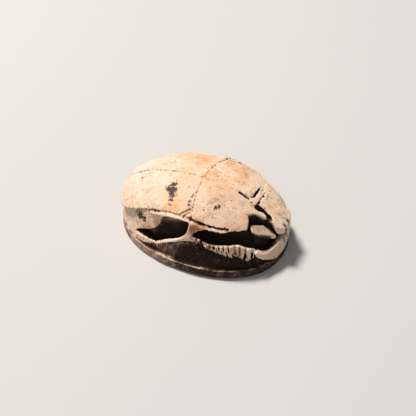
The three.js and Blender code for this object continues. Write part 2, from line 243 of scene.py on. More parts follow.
def light_the_stone():
    for name, settings in LIGHTS.items():
        area_light(name, *settings)
    world = bpy.data.worlds.new("studio")
    world.use_nodes = True
    sky = world.node_tree.nodes["Background"]
    sky.inputs["Color"].default_value = SKY_COLOUR
    sky.inputs["Strength"].default_value = SKY_STRENGTH
    bpy.context.scene.world = world
    bpy.context.scene.view_settings.view_transform = "Standard"


def lay_floor():
    half = FLOOR_HALF
    mesh = bpy.data.meshes.new("floor")
    corners = [(-half, -half, 0), (half, -half, 0), (half, half, 0), (-half, half, 0)]
    mesh.from_pydata(corners, [], [(0, 1, 2, 3)])
    floor = bpy.data.objects.new("floor", mesh)
    bpy.context.scene.collection.objects.link(floor)
    paint = bpy.data.materials.new("pale floor")
    paint.use_nodes = True
    skin = paint.node_tree.nodes["Principled BSDF"]
    skin.inputs["Base Color"].default_value = FLOOR_COLOUR
    skin.inputs["Roughness"].default_value = FLOOR_ROUGHNESS
    mesh.materials.append(paint)


# The stone's mesh

def rows_of(items, name):
    """A property of three parts, one row for each item."""
    flat = np.empty(len(items) * 3, np.float32)
    items.foreach_get(name, flat)
    return flat.reshape(-1, 3).astype(float)


def points_of(mesh):
    return rows_of(mesh.vertices, "co")


def normals_of(mesh):
    return rows_of(mesh.vertex_normals, "vector")


def move_points(mesh, points):
    mesh.vertices.foreach_set("co", points.astype(np.float32).ravel())
    mesh.update()


def settled(piece):
    """The piece with its modifiers worked in, as a plain mesh."""
    seen = piece.evaluated_get(bpy.context.evaluated_depsgraph_get())
    mesh = bpy.data.meshes.new_from_object(seen)
    piece.modifiers.clear()
    old = piece.data
    piece.data = mesh
    bpy.data.meshes.remove(old)
    return piece


def rough_out():
    """A fine even skin over the solid, in millimetres, with its edges eased."""
    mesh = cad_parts["scarab_amulet"].data.copy()
    move_points(mesh, points_of(mesh) / MM)
    piece = bpy.data.objects.new("carved_scarab", mesh)
    bpy.context.scene.collection.objects.link(piece)
    weld = piece.modifiers.new("weld", "WELD")
    weld.merge_threshold = 0.0005
    skin = piece.modifiers.new("skin", "REMESH")
    skin.mode = "VOXEL"
    skin.voxel_size = GRID
    ease = piece.modifiers.new("ease", "SMOOTH")
    ease.factor = 0.5
    ease.iterations = 2
    return settled(piece)


def neighbours(mesh):
    """Pairs of joined points, each both ways, and how many each point has."""
    pairs = np.empty(len(mesh.edges) * 2, np.int32)
    mesh.edges.foreach_get("vertices", pairs)
    pairs = pairs.reshape(-1, 2)
    both = np.vstack([pairs, pairs[:, ::-1]])
    count = np.bincount(both[:, 0], minlength=len(mesh.vertices)).astype(float)
    return both, count


def spread(values, both, count, rounds):
    """Values smoothed over the surface: one value or one row for each point."""
    out = values.astype(float).reshape(len(values), -1)
    for _ in range(rounds):
        total = np.stack([
            np.bincount(both[:, 0], weights=column[both[:, 1]], minlength=len(out))
            for column in out.T
        ], 1)
        out = 0.5 * out + 0.5 * total / count[:, None]
    return out.reshape(values.shape)


def soft_step(value, low, high):
    """0 below low, 1 above high and a soft change between them."""
    t = np.clip((value - low) / (high - low), 0, 1)
    return t * t * (3 - 2 * t)


# Lines that are cut into the stone

def edge_height(x):
    """The line that borders the wing cases and the fore back."""
    if x >= 0:
        return SHOULDER_HEIGHT - FORE_EDGE_FALL * x
    reach = min(-x / BACK_HALF_LENGTH, 1)
    return SHOULDER_HEIGHT - (SHOULDER_HEIGHT - TAIL_NOTCH_HEIGHT) * reach ** EDGE_CLIMB_BEND


def shoulder_line(y):
    return SHOULDER_LINE_X + SHOULDER_LINE_BOW * y * y


def line_object(name, lines):
    """Open lines, each a list of points, as one mesh of edges."""
    points, edges = [], []
    for line in lines:
        start = len(points)
        points += [tuple(p) for p in line]
        edges += [(i, i + 1) for i in range(start, len(points) - 1)]
    mesh = bpy.data.meshes.new(name)
    mesh.from_pydata(points, edges, [])
    piece = bpy.data.objects.new(name, mesh)
    bpy.context.scene.collection.objects.link(piece)
    return piece


def between(start, end, count):
    """Evenly spaced points from start to end."""
    a, b = np.array(start, float), np.array(end, float)
    return [tuple(a + (b - a) * i / (count - 1)) for i in range(count)]


class Finder:
    """Drops points onto the stone along a direction, from well outside it."""
    FAR = 20
    BELOW = -5

    def __init__(self, mesh):
        corners = [tuple(v.co) for v in mesh.vertices]
        faces = [tuple(p.vertices) for p in mesh.polygons]
        self.tree = BVHTree.FromPolygons(corners, faces)

    def hit(self, start, direction):
        spot = self.tree.ray_cast(Vector(start), Vector(direction))[0]
        return None if spot is None else tuple(spot)

    def from_above(self, line):
        found = [self.hit((x, y, self.FAR), (0, 0, -1)) for x, y in line]
        return [p for p in found if p]

    def from_below(self, line):
        found = [self.hit((x, y, self.BELOW), (0, 0, 1)) for x, y in line]
        return [p for p in found if p]

    def from_side(self, line, side=-1):
        found = [self.hit((x, side * self.FAR, z), (0, -side, 0)) for x, z in line]
        return [p for p in found if p]

    def from_both_sides(self, line):
        return [self.from_side(line, -1), self.from_side(line, 1)]


def surface_tree(name, inputs):
    """A geometry tree that takes a surface, its material and the named inputs."""
    tree = bpy.data.node_groups.new(name, "GeometryNodeTree")
    face = tree.interface
    face.new_socket("Geometry", in_out="OUTPUT", socket_type="NodeSocketGeometry")
    for label, kind in [("Geometry", "Geometry"), *inputs, ("Material", "Material")]:
        face.new_socket(label, in_out="INPUT", socket_type="NodeSocket" + kind)
    return tree, node(tree, "NodeGroupInput")


def pressed_in(tree, given, amount):
    """The given surface, moved inward by an amount."""
    out = node(tree, "GeometryNodeInputNormal")[0]
    push = node(tree, "ShaderNodeVectorMath", {"operation": "SCALE"},
                {0: out, "Scale": amount * -1.0})[0]
    return node(tree, "GeometryNodeSetPosition", None,
                {"Geometry": given["Geometry"], "Offset": push})[0]


def close_tree(tree, given, surface):
    """Gives the surface its material and hands it out."""
    real = node(tree, "GeometryNodeRealizeInstances", None, {"Geometry": surface})[0]
    dressed = node(tree, "GeometryNodeSetMaterial", None,
                   {"Geometry": real, "Material": given["Material"]})[0]
    end = tree.nodes.new("NodeGroupOutput")
    tree.links.new(dressed.socket, end.inputs[0])


def cutting_tree():
    """Presses the surface in along lines, with a ragged and broken stroke."""
    measures = ("Width", "Depth", "Ragged", "Broken", "Grain", "Seed")
    tree, given = surface_tree("cut along lines",
                               [("Lines", "Object"), *((name, "Float") for name in measures)])
    lines = node(tree, "GeometryNodeObjectInfo", None, {"Object": given["Lines"]})["Geometry"]
    reach = node(tree, "GeometryNodeProximity", {"target_element": "EDGES"},
                 {0: lines})["Distance"]
    place = node(tree, "GeometryNodeInputPosition")[0]

    def noise(seed, scale, detail):
        return node(tree, "ShaderNodeTexNoise", {"noise_dimensions": "4D"},
                    {"Vector": place, "W": seed, "Scale": scale, "Detail": detail})[0]

    rough = noise(given["Seed"], given["Grain"], 2.0)
    width = given["Width"] * (1.0 + given["Ragged"] * (rough - 0.5) * 2.0)
    stroke = (1.0 - reach / width.larger(0.001)).step(0.0, 0.75)
    dots = noise(given["Seed"] + 5.0, given["Grain"] * 1.6, 1.0)
    strength = stroke * (1.0 - given["Broken"] * dots.step(0.4, 0.6))
    moved = pressed_in(tree, given, strength * given["Depth"])
    # The cut's depth is kept as a mark; the finish paints cuts darker with it, as dirt and as
    # painted shade.
    before = node(tree, "GeometryNodeInputNamedAttribute", {"data_type": "FLOAT"},
                  {"Name": "cut"})["Attribute"]
    dark = strength * (given["Depth"] / FULL_CUT).smaller(1.0)
    kept = node(tree, "GeometryNodeStoreNamedAttribute",
                {"data_type": "FLOAT", "domain": "POINT"},
                {"Geometry": moved, "Name": "cut", "Value": before.larger(dark)})[0]
    close_tree(tree, given, kept)
    return tree


def pitting_tree():
    """Scatters small round pits over the surface."""
    tree, given = surface_tree("scatter pits", [
        ("Pits per area", "Float"), ("Radius", "Float"), ("Depth", "Float"), ("Seed", "Int"),
    ])
    centres = node(tree, "GeometryNodeDistributePointsOnFaces", None,
                   {"Mesh": given["Geometry"], "Density": given["Pits per area"],
                    "Seed": given["Seed"]})["Points"]
    reach = node(tree, "GeometryNodeProximity", {"target_element": "POINTS"},
                 {0: centres})["Distance"]
    place = node(tree, "GeometryNodeInputPosition")[0]
    uneven = node(tree, "ShaderNodeTexNoise", None, {"Vector": place, "Scale": 1.3})[0]
    radius = given["Radius"] * (uneven * 2.2 - 0.1).larger(0.05)
    pit = (1.0 - reach / radius).step(0.0, 1.0)
    close_tree(tree, given, pressed_in(tree, given, pit * given["Depth"]))
    return tree


def work(piece, tree, inputs):
    """Runs a geometry tree on the piece and keeps the result."""
    tool = piece.modifiers.new(tree.name, "NODES")
    tool.node_group = tree
    sockets = {s.name: s.identifier for s in tree.interface.items_tree if s.in_out == "INPUT"}
    for name, value in inputs.items():
        tool[sockets[name]] = value
    return settled(piece)


# Strokes on the upper side: start and end in x and y, and how many points
SEAM = [((-8.5, 0.02), (0.6, 0.0), 60)]
FINE_STROKES = [
    ((-0.5, 4.45), (0.12, 3.9), 10),      # notch of the far shoulder
    ((2.9, -0.02), (4.95, -0.12), 18),    # middle line of the fore back
    ((5.08, 0.3), (5.22, 2.1), 16),       # neck
    ((5.74, -0.3), (5.86, 1.75), 16),     # neck
    ((6.6, 1.5), (8.3, 1.62), 16),        # head, beyond the shield
    ((6.3, 1.1), (7.5, 1.0), 12),         # shield
]
DEEP_STROKES = [
    ((-0.65, -4.5), (0.06, -3.88), 10),   # notch of the near shoulder
    ((-0.34, -4.62), (0.16, -4.18), 8),   # notch of the near shoulder
    ((3.75, -0.08), (4.75, -0.16), 12),   # end of the fore back's middle line
    ((5.1, 0.42), (5.2, 1.8), 12),        # neck
]
HOLES = [
    ((5.85, -0.56), (7.35, -0.76), 16),   # gap beside the shield
    ((8.65, 0.5), (8.95, 0.5), 5),        # notch of the shield's front edge
    ((8.65, -0.3), (8.93, -0.3), 5),      # notch of the shield's front edge
]
UNDERSIDE_BARS = [
    ((-2.4, -3.4), (-2.4, 3.4), 30),
    ((2.4, -3.4), (2.4, 3.4), 30),
]

# Longer lines: first and last place, and how many points
SHOULDER_RUN = (-4.7, 4.7, 50)
BORDER_RUN = (-7.8, 4.2, 70)
SKIRT_RUN = (0.35, 4.15, 30)
SKIRT_RISE = 0.02
TAIL_NOTCH_RUN = (-4.4, 4.4, 40)
TAIL_NOTCH_SET_IN = 0.42
TAIL_NOTCH_DROP = 0.15
RING_POINTS = 160
RIM_NICKS = ((0.22, 0.0), (0.0, 0.3))

# Rows of marks: first place, last place and pitch
WALL_MARKS = (-5.2, 6.4, 0.3)
WALL_MARK_LEANS = (0.5, -0.45)
WALL_MARK_FOOT = 0.05
WALL_MARK_RISE = (0.3, 1.6)
WALL_MARK_UNDER_BORDER = 3.0
WALL_MARK_CLIMB = 0.5
TOOL_MARKS = (-7.6, -3.4, 0.24)
TOOL_MARK_TOP = 4.7
TOOL_MARK_CLIMB = 0.35
TOOL_MARK_ABOVE_BORDER = 0.3

# The underside: its border as a share of the outline, and its hooks
UNDERSIDE_BORDER = 0.84
HOOK_X = 4.4
HOOK_Y = 1.7
HOOK_SIZE = 1.25
HOOK_CLOSING = 0.14


def strokes(finder, places):
    """Straight strokes on the upper side."""
    return [finder.from_above(between(*place)) for place in places]


def back_lines(finder):
    """Seam of the wing cases, and the shoulder line."""
    shoulder = [(shoulder_line(y), y) for y in np.linspace(*SHOULDER_RUN)]
    return strokes(finder, SEAM) + [finder.from_above(shoulder)]


def border_lines(finder):
    """The line that borders the wing cases and the fore back."""
    return finder.from_both_sides([(x, edge_height(x)) for x in np.linspace(*BORDER_RUN)])


def skirt_grooves(finder):
    """The dark groove above the ledge that borders the fore back."""
    return finder.from_both_sides([(x, edge_height(x) + SKIRT_RISE)
                                   for x in np.linspace(*SKIRT_RUN)])


def tail_notch():
    """The deep notch under the back's edge, around the tail."""
    ring = []
    for y in np.linspace(*TAIL_NOTCH_RUN):
        share = abs(y) / (WIDTH / 2)
        bow = (1 - share ** OUTLINE_POWER) ** (1 / OUTLINE_POWER)
        x = (LENGTH / 2 - TAIL_NOTCH_SET_IN) * -bow
        ring.append((x, y, edge_height(x) - TAIL_NOTCH_DROP))
    return [ring]


def plan_ring(z, set_in):
    """The plate's outline at a height, moved in a little."""
    ring = []
    for angle in np.linspace(0, 2 * math.pi, RING_POINTS):
        c, s = math.cos(angle), math.sin(angle)
        x = (LENGTH / 2 - set_in) * math.copysign(abs(c) ** (2 / OUTLINE_POWER), c)
        x = max(x, TAIL_OVERHANG + set_in - LENGTH / 2)
        y = (WIDTH / 2 - set_in) * math.copysign(abs(s) ** (2 / OUTLINE_POWER), s)
        ring.append((x, y, z))
    return ring


def rim_lines():
    """Lines of small nicks along the upper edge of the plate."""
    return [plan_ring(PLATE_THICKNESS - drop, set_in) for drop, set_in in RIM_NICKS]


def fringe_lines(finder, shift):
    """The slanted strokes of both forelegs, moved to the head by a length."""
    lines = []
    for i in range(FRINGE_COUNT):
        uneven = FRINGE_UNEVEN * math.sin(i * i)
        x = FRINGE_START + i * FRINGE_PITCH + uneven + shift
        lean = FRINGE_LEAN * (1 - i / FRINGE_COUNT)
        low = FRINGE_LOW - FRINGE_FALL * (x - FRINGE_START) - FRINGE_DROP
        lines += finder.from_both_sides([(x - lean * t, low + FRINGE_RISE * t)
                                         for t in np.linspace(-0.1, 1, 12)])
    return lines


def low_wall_marks(finder):
    """Crossing scratches on the wall between the legs and the plate."""
    dice = np.random.default_rng(SEED + 2)
    foot = PLATE_THICKNESS + WALL_MARK_FOOT
    least, most = WALL_MARK_RISE
    marks = []
    for x in np.arange(*WALL_MARKS):
        for lean in WALL_MARK_LEANS:
            under_legs = edge_height(x) - WALL_MARK_UNDER_BORDER + WALL_MARK_CLIMB * abs(x)
            top = min(foot + most, under_legs) + dice.uniform(-0.2, 0.2)
            rise = max(top - foot, least)
            shift = dice.uniform(-0.12, 0.12)
            marks += finder.from_both_sides([(x + shift + lean * t, foot + rise * t)
                                             for t in np.linspace(0, 1, 8)])
    return marks


def underside_lines(finder):
    """An oval border, four facing hooks and two bars, kept clear of the middle."""
    def hook(x, y, turn):
        return [(x + turn * HOOK_SIZE * (1 - HOOK_CLOSING * t) * math.cos(t),
                 y + HOOK_SIZE * (1 - HOOK_CLOSING * t) * math.sin(t))
                for t in np.linspace(0, 1.6 * math.pi, 40)]

    half_length, half_width = LENGTH / 2 * UNDERSIDE_BORDER, WIDTH / 2 * UNDERSIDE_BORDER
    lines = [[(half_length * math.cos(t), half_width * math.sin(t))
              for t in np.linspace(0, 2 * math.pi, 120)]]
    for x in (-HOOK_X, HOOK_X):
        for y in (-HOOK_Y, HOOK_Y):
            lines.append(hook(x, y, math.copysign(1, -x)))
    lines += [between(*place) for place in UNDERSIDE_BARS]
    return [finder.from_below(line) for line in lines]


def tool_marks(finder):
    """Faint upright strokes on the near tail of the wing case."""
    dice = np.random.default_rng(SEED)
    marks = []
    for x in np.arange(*TOOL_MARKS):
        top = TOOL_MARK_TOP + TOOL_MARK_CLIMB * (x - TOOL_MARKS[0]) + dice.uniform(-0.2, 0.2)
        low = edge_height(x) + TOOL_MARK_ABOVE_BORDER
        lean = dice.uniform(-0.05, 0.1)
        marks.append(finder.from_side([(x + lean * t, low + (top - low) * t)
                                       for t in np.linspace(0, 1, 8)]))
    return marks


PITS = {"Pits per area": 0.5, "Radius": 0.16, "Depth": 0.05, "Seed": SEED}


def carve(piece, stone):
    """Cuts every line into the stone, one kind after another, and scatters the pits."""
    finder = Finder(piece.data)
    cut = cutting_tree()
    piece.data.attributes.new("cut", "FLOAT", "POINT")
    # Each job: its name and lines, then width, depth, raggedness, gaps and grain. Its place in
    # the list is its seed.
    jobs = [
        ("back lines", back_lines(finder), 0.11, 0.07, 0.8, 0.9, 2.4),
        ("border lines", border_lines(finder), 0.26, 0.08, 0.9, 0.9, 2.2),
        ("border line core", border_lines(finder), 0.12, 0.1, 0.6, 0.7, 3.0),
        ("tail notch", tail_notch(), 0.3, 0.14, 0.4, 0.2, 1.2),
        ("fine lines", strokes(finder, FINE_STROKES), 0.1, 0.1, 0.4, 0.4, 2.4),
        ("deep lines", strokes(finder, DEEP_STROKES), 0.19, 0.2, 0.4, 0.1, 2.0),
        ("holes", strokes(finder, HOLES), 0.4, 0.3, 0.3, 0.0, 1.6),
        ("skirt grooves", skirt_grooves(finder), 0.14, 0.2, 0.3, 0.0, 1.6),
        ("fringe lines", fringe_lines(finder, 0.0), 0.13, 0.17, 0.4, 0.15, 2.0),
        ("fringe hairs", fringe_lines(finder, FRINGE_PITCH / 2), 0.07, 0.09, 0.4, 0.2, 2.0),
        ("rim nicks", rim_lines(), 0.16, 0.07, 0.8, 0.9, 1.9),
        ("low wall marks", low_wall_marks(finder), 0.11, 0.06, 0.5, 0.5, 1.9),
        ("underside lines", underside_lines(finder), 0.22, 0.14, 0.25, 0.1, 1.6),
        ("tool marks", tool_marks(finder), 0.15, 0.016, 0.6, 0.6, 1.2),
    ]
    for i, (name, lines, width, depth, ragged, broken, grain) in enumerate(jobs):
        guide = line_object(name, [line for line in lines if len(line) > 1])
        work(piece, cut, {"Lines": guide, "Width": width, "Depth": depth, "Ragged": ragged,
                          "Broken": broken, "Grain": grain, "Seed": float(i), "Material": stone})
        bpy.data.objects.remove(guide)
    work(piece, pitting_tree(), {**PITS, "Material": stone})


def smooth_noise(points, size, seed):
    """A soft random field from -1 to 1, with bumps of about the given size."""
    dice = np.random.default_rng(seed)
    total = np.zeros(len(points))
    for _ in range(WAVE_COUNT):
        direction = dice.normal(size=3)
        direction *= 2 * math.pi / size / np.linalg.norm(direction) * dice.uniform(0.6, 1.4)
        total += np.sin(points @ direction + dice.uniform(0, 2 * math.pi))
    return total / math.sqrt(WAVE_COUNT)


def above_broad_form(points, out, both, count, rounds):
    """How far each point stands out of the smoothed surface."""
    return np.einsum("ij,ij->i", points - spread(points, both, count, rounds), out)


def wear_edges(piece):
    """Rounds the edges that stick out, as handling does, and leaves the grooves sharp."""
    mesh = piece.data
    both, count = neighbours(mesh)
    for rounds in WEAR_ROUNDS:
        points, out = points_of(mesh), normals_of(mesh)
        raised = above_broad_form(points, out, both, count, rounds)
        pull = np.clip(raised, 0, MOST_WEAR) * EDGE_WEAR * soft_step(points[:, 2], *UNWORN_FOOT)
        move_points(mesh, points - out * pull[:, None])


def hand_cut(piece):
    """Slow unevenness, as of a surface worked by hand and then worn."""
    mesh = piece.data
    points, out = points_of(mesh), normals_of(mesh)
    wave = sum(height * smooth_noise(points, size, seed) for height, size, seed in HAND_WAVES)
    wave *= soft_step(points[:, 2], *STEADY_FOOT)
    move_points(mesh, points + out * wave[:, None])


def shelter(piece):
    """How closed in each point is: 0 in the open, 1 deep in a hollow."""
    mesh = piece.data
    points, out = points_of(mesh), normals_of(mesh)
    small = piece.copy()
    small.data = mesh.copy()
    bpy.context.scene.collection.objects.link(small)
    thin = small.modifiers.new("thin", "DECIMATE")
    thin.ratio = SHELTER_THINNING
    settled(small)
    cast = Finder(small.data).tree.ray_cast
    bpy.data.objects.remove(small)
    dice = np.random.default_rng(SEED + 1)
    u, v = dice.random(RAYS), dice.random(RAYS)
    lift, turn = np.sqrt(u), 2 * math.pi * v
    local = np.stack([lift * np.cos(turn), lift * np.sin(turn), np.sqrt(1 - u)], 1)
    side = np.cross(out, np.where(abs(out[:, 2:3]) < 0.9, [[0, 0, 1.0]], [[1.0, 0, 0]]))
    side /= np.linalg.norm(side, axis=1)[:, None]
    across = np.cross(out, side)
    start = (points + out * SHELTER_LIFT).tolist()

    def closeness(spot, way):
        place, _, _, distance = cast(spot, way, SHELTER_REACH)
        return 0.0 if place is None else 1.0 - distance / SHELTER_REACH

    closed = np.zeros(len(points))
    for along_side, along_across, along_out in local:
        ways = side * along_side + across * along_across + out * along_out
        closed += np.fromiter(map(closeness, start, ways.tolist()), float, len(points))
    return closed / RAYS


# Zones of the finish: where each begins and where it is full, in millimetres along x, y or z
LOW_WALL_Z = (1.1, 3.4)
SHADED_X = (-3.5, 1.5)
RIM_Z = (0.95, 1.15)
TAIL_X = (-8.0, -2.5)
TANNED_X = (-3.0, 3.0)
TANNED_END_X = (5.0, 6.5)
TANNED_Y = (-2.5, 2.5)
HOLLOW_TOP_X = (-3.6, -2.6)
HOLLOW_TOP_END_X = (0.3, 0.7)
HOLLOW_TOP_RISE = (0, 0.7)
LEG_LINE_X = -1.2
LEG_LINE_Z = 4.0
LEG_LINE_SLOPE = 0.4
HOLLOW_TIP_X = (-3.9, -3.1)
HOLLOW_TIP_Z = (1.5, 1.8)
CHEEK_X = (5.9, 6.3)
CHEEK_Y = (1.1, 1.5)
CHEEK_Z = (3.3, 3.6)
FEET_X = (7.9, 8.15)
FEET_Z = (1.6, 1.9)
FEET_END_Z = (3.2, 3.4)

# How far a face looks up or down, where its share of a zone begins and where it is full
FACING_UP = (0.4, 0.7)
FACING_DOWN = (0.3, 0.8)

# Marks on the surface: place in millimetres, and radius
STAINS = [
    ((-2.95, -2.3, 6.5), 0.34), ((-2.6, -1.75, 6.75), 0.3), ((-2.45, -2.35, 6.65), 0.42),
    ((-2.35, -2.9, 6.5), 0.3), ((-2.2, -3.4, 6.3), 0.22), ((-2.1, -3.95, 6.05), 0.17),
    ((2.35, -2.75, 6.5), 0.2), ((2.6, -2.55, 6.5), 0.22), ((2.45, -3.8, 6.0), 0.13),
    ((1.3, -3.5, 6.3), 0.1), ((-6.45, -1.15, 5.65), 0.13), ((-5.3, -4.55, 3.9), 0.5),
    ((-5.9, -4.4, 3.9), 0.34), ((-4.7, -4.75, 3.7), 0.34), ((2.8, -2.3, 6.6), 0.1),
    ((-0.32, -2.6, 6.7), 0.14), ((-0.3, -3.1, 6.55), 0.16), ((-0.22, -3.5, 6.4), 0.12),
    ((-0.2, -2.1, 6.85), 0.1), ((4.9, 0.2, 6.2), 0.14), ((5.1, -0.5, 6.1), 0.12),
]
OCHRES = [
    ((-1.2, 3.0, 6.6), 1.5), ((0.6, 0.8, 7.1), 1.2), ((1.6, 3.2, 6.4), 1.5), ((7.3, 0.6, 5.1), 0.6),
    ((-3.4, 3.6, 6.0), 1.0), ((3.4, 1.8, 6.4), 1.0), ((-1.3, -4.0, 5.9), 0.7),
]
RUSTS = [
    ((0.95, -5.15, 4.95), 0.5), ((1.3, -4.9, 5.3), 0.5), ((1.9, -4.8, 5.35), 0.3),
    ((-2.9, -5.2, 4.3), 0.5),
    ((-4.6, -5.4, 2.9), 0.4), ((-3.9, -5.3, 3.3), 0.3), ((4.9, -4.0, 5.0), 0.35),
]


def spots(points, places):
    """1 at the middle of each spot, falling softly to 0 around it."""
    total = np.zeros(len(points))
    for place, radius in places:
        apart = np.linalg.norm(points - np.array(place), axis=1)
        total = np.maximum(total, np.exp(-((apart / radius) ** 2)))
    return total


def sunk_below_form(points):
    """How deep each point lies under the plain form of wall, dome and head, in millimetres."""
    x, y, z = points.T
    rise = np.maximum(z - PLATE_THICKNESS, 0)
    middle = TAIL_OVERHANG / 2 + (WALL_LEAN_TAIL - WALL_LEAN_HEAD) / 2 * rise
    lean_ends = (WALL_LEAN_TAIL + WALL_LEAN_HEAD) / 2
    half_length = (LENGTH - TAIL_OVERHANG) / 2 - WALL_SET_BACK - lean_ends * rise
    half_width = WIDTH / 2 - WALL_SET_BACK - WALL_LEAN_SIDE * rise
    flat = np.hypot(x, y) + TINY
    share = (abs((x - middle) / half_length) ** OUTLINE_POWER
             + abs(y / half_width) ** OUTLINE_POWER)
    under_wall = flat * (np.maximum(share, TINY) ** (-1 / OUTLINE_POWER) - 1)
    plan = (abs((x - BACK_SHIFT) / BACK_HALF_LENGTH) ** BACK_POWER
            + abs(y / BACK_HALF_WIDTH) ** BACK_POWER)
    lift = np.maximum(z - BACK_SPRING, 0) / (HEIGHT - BACK_SPRING)
    ball = (plan + lift ** BACK_POWER) ** (1 / BACK_POWER)
    away = np.sqrt(flat ** 2 + np.maximum(z - BACK_SPRING, 0) ** 2)
    under_dome = away * (1 / np.maximum(ball, TINY) - 1)
    run = x - NECK_X
    under_head = NECK_HEIGHT - HEAD_SLOPE * run - HEAD_BEND * run * run - z
    depth = np.minimum(under_wall, under_dome)
    ahead = x > FORE_BACK_END
    depth[ahead] = np.minimum(depth, under_head)[ahead]
    depth[z < PLATE_THICKNESS - 0.1] = 0
    return depth


def keep(mesh, name, values):
    """Stores a value for each point under a name that the finish reads."""
    if name in mesh.attributes:
        mesh.attributes.remove(mesh.attributes[name])
    field = mesh.attributes.new(name, "FLOAT", "POINT")
    field.data.foreach_set("value", values.astype(np.float32))


def read(mesh, name):
    """The values that are stored under a name."""
    values = np.empty(len(mesh.vertices), np.float32)
    mesh.attributes[name].data.foreach_get("value", values)
    return values.astype(float)


def less_dirt_and_shade_zones(points, out):
    """Parts that get less dirt and painted shade than their shelter tells."""
    x, y, z = points.T
    upward = soft_step(out[:, 2], *FACING_UP)
    leg_line = LEG_LINE_SLOPE * (x - LEG_LINE_X)
    above_leg = soft_step(z - LEG_LINE_Z - leg_line, *HOLLOW_TOP_RISE)
    hollow_top = (soft_step(x, *HOLLOW_TOP_X) * (1 - soft_step(x, *HOLLOW_TOP_END_X))
                  * above_leg)
    hollow_tip = 0.7 * (1 - soft_step(x, *HOLLOW_TIP_X)) * soft_step(z, *HOLLOW_TIP_Z)
    cheek = (upward * soft_step(x, *CHEEK_X) * soft_step(-y, *CHEEK_Y)
             * soft_step(z, *CHEEK_Z))
    feet = (upward * soft_step(x, *FEET_X) * soft_step(z, *FEET_Z)
            * (1 - soft_step(z, *FEET_END_Z)))
    return np.maximum.reduce([hollow_top, hollow_tip, cheek, feet])


def mark(piece):
    """Where dirt, painted shade, a painted highlight, wear, stains and ochre lie on the stone."""
    mesh = piece.data
    points, out = points_of(mesh), normals_of(mesh)
    x, y, z = points.T
    both, count = neighbours(mesh)
    raised = above_broad_form(points, out, both, count, BROAD_ROUNDS)
    sunk = np.clip(sunk_below_form(points), 0, MOST_SUNK)
    cut = np.maximum(read(mesh, "cut"), 0.0)
    # Closed-in places and depth under the plain form: the finish paints both darker, as dirt and as
    # painted shade.
    keep(mesh, "shelter", spread(shelter(piece), both, count, 2))
    keep(mesh, "sunk", spread(sunk, both, count, 1))
    keep(mesh, "cut", spread(cut, both, count, 1))
    keep(mesh, "raised", np.clip(raised / FULL_RISE, -1, 1))
    keep(mesh, "low", 1 - soft_step(z, *LOW_WALL_Z))
    # Painted shade: rises towards the head, where the low wall and the rim are painted darker.
    keep(mesh, "shade", soft_step(x, *SHADED_X))
    # The plate's rim below its top edge, painted darker as shade and dirt; faces looking down are
    # left out.
    keep(mesh, "rim", (1 - soft_step(z, *RIM_Z)) * (1 - soft_step(-out[:, 2], *FACING_DOWN)))
    # Paler towards the tail: partly a painted highlight.
    keep(mesh, "tail", 1 - soft_step(x, *TAIL_X))
    keep(mesh, "tanned", soft_step(x, *TANNED_X) * (1 - soft_step(x, *TANNED_END_X))
         * (1 - soft_step(y, *TANNED_Y)))
    # Lifts the painted shade and dirt on the hollow's top and tip, the cheek and the feet.
    keep(mesh, "cleaner", less_dirt_and_shade_zones(points, out))
    for name, places in (("rust", RUSTS), ("stain", STAINS), ("ochre", OCHRES)):
        keep(mesh, name, spots(points, places))


def thin_out(piece):
    """Fewer triangles where the surface is plain."""
    triangles = sum(len(p.vertices) - 2 for p in piece.data.polygons)
    if triangles > MOST_TRIANGLES:
        thin = piece.modifiers.new("thin", "DECIMATE")
        thin.ratio = MOST_TRIANGLES / triangles
        thin.use_collapse_triangulate = True
        settled(piece)


# The stone's finish

def tint(red, green, blue):
    """A colour given in screen values from 0 to 255."""
    def level(v):
        v /= 255
        return v / 12.92 if v < 0.04045 else ((v + 0.055) / 1.055) ** 2.4
    return level(red), level(green), level(blue), 1.0


CREAM = tint(235, 197, 158)
PALE = tint(244, 218, 192)
WHITENED = tint(247, 232, 220)
TAN = tint(204, 142, 98)
ORANGE = tint(228, 158, 78)
RUST = tint(168, 98, 56)
PINKISH = tint(218, 186, 170)
BROWN = tint(112, 66, 38)
DIRT_AND_SHADE = tint(34, 20, 13)
SOOT = tint(20, 19, 20)


def blend(tree, amount, first, second):
    """Two colours mixed by an amount."""
    return node(tree, "ShaderNodeMix", {"data_type": "RGBA"},
                {"Factor": amount, 6: first, 7: second})[2]


def sway(pattern, amount):
    """A pattern moved to swing around 0, and scaled."""
    return (pattern - 0.5) * amount


def noise_patterns(tree):
    """Noise of several sizes, laid out in millimetres."""
    place = node(tree, "ShaderNodeTexCoord")["Object"]

    def noise(scale, detail, roughness, shift, stretch=(1, 1, 1)):
        spot = node(tree, "ShaderNodeMapping", None,
                    {"Vector": place, "Scale": tuple(s / MM for s in stretch),
                     "Location": (shift, shift, shift)})[0]
        return node(tree, "ShaderNodeTexNoise", None,
                    {"Vector": spot, "Scale": scale, "Detail": detail, "Roughness": roughness})[0]

    return SimpleNamespace(
        cloud=noise(0.3, 3.0, 0.5, 0.0),
        mottle=noise(1.1, 4.0, 0.6, 3.0),
        speckle=noise(4.2, 3.0, 0.65, 7.0),
        grain=noise(10.0, 2.0, 0.7, 11.0),
        flecks=noise(2.3, 2.0, 0.5, 17.0),
        streak=noise(1.0, 3.0, 0.6, 5.0, (2.4, 0.3, 0.3)),
    )


def kept_marks(tree):
    """The values that mark stored for each point, by their names."""
    names = ("shelter", "sunk", "cut", "raised", "low", "shade", "rim", "tail", "tanned",
             "cleaner", "rust", "stain", "ochre")
    return SimpleNamespace(**{
        name: node(tree, "ShaderNodeAttribute", {"attribute_name": name})["Fac"]
        for name in names
    })


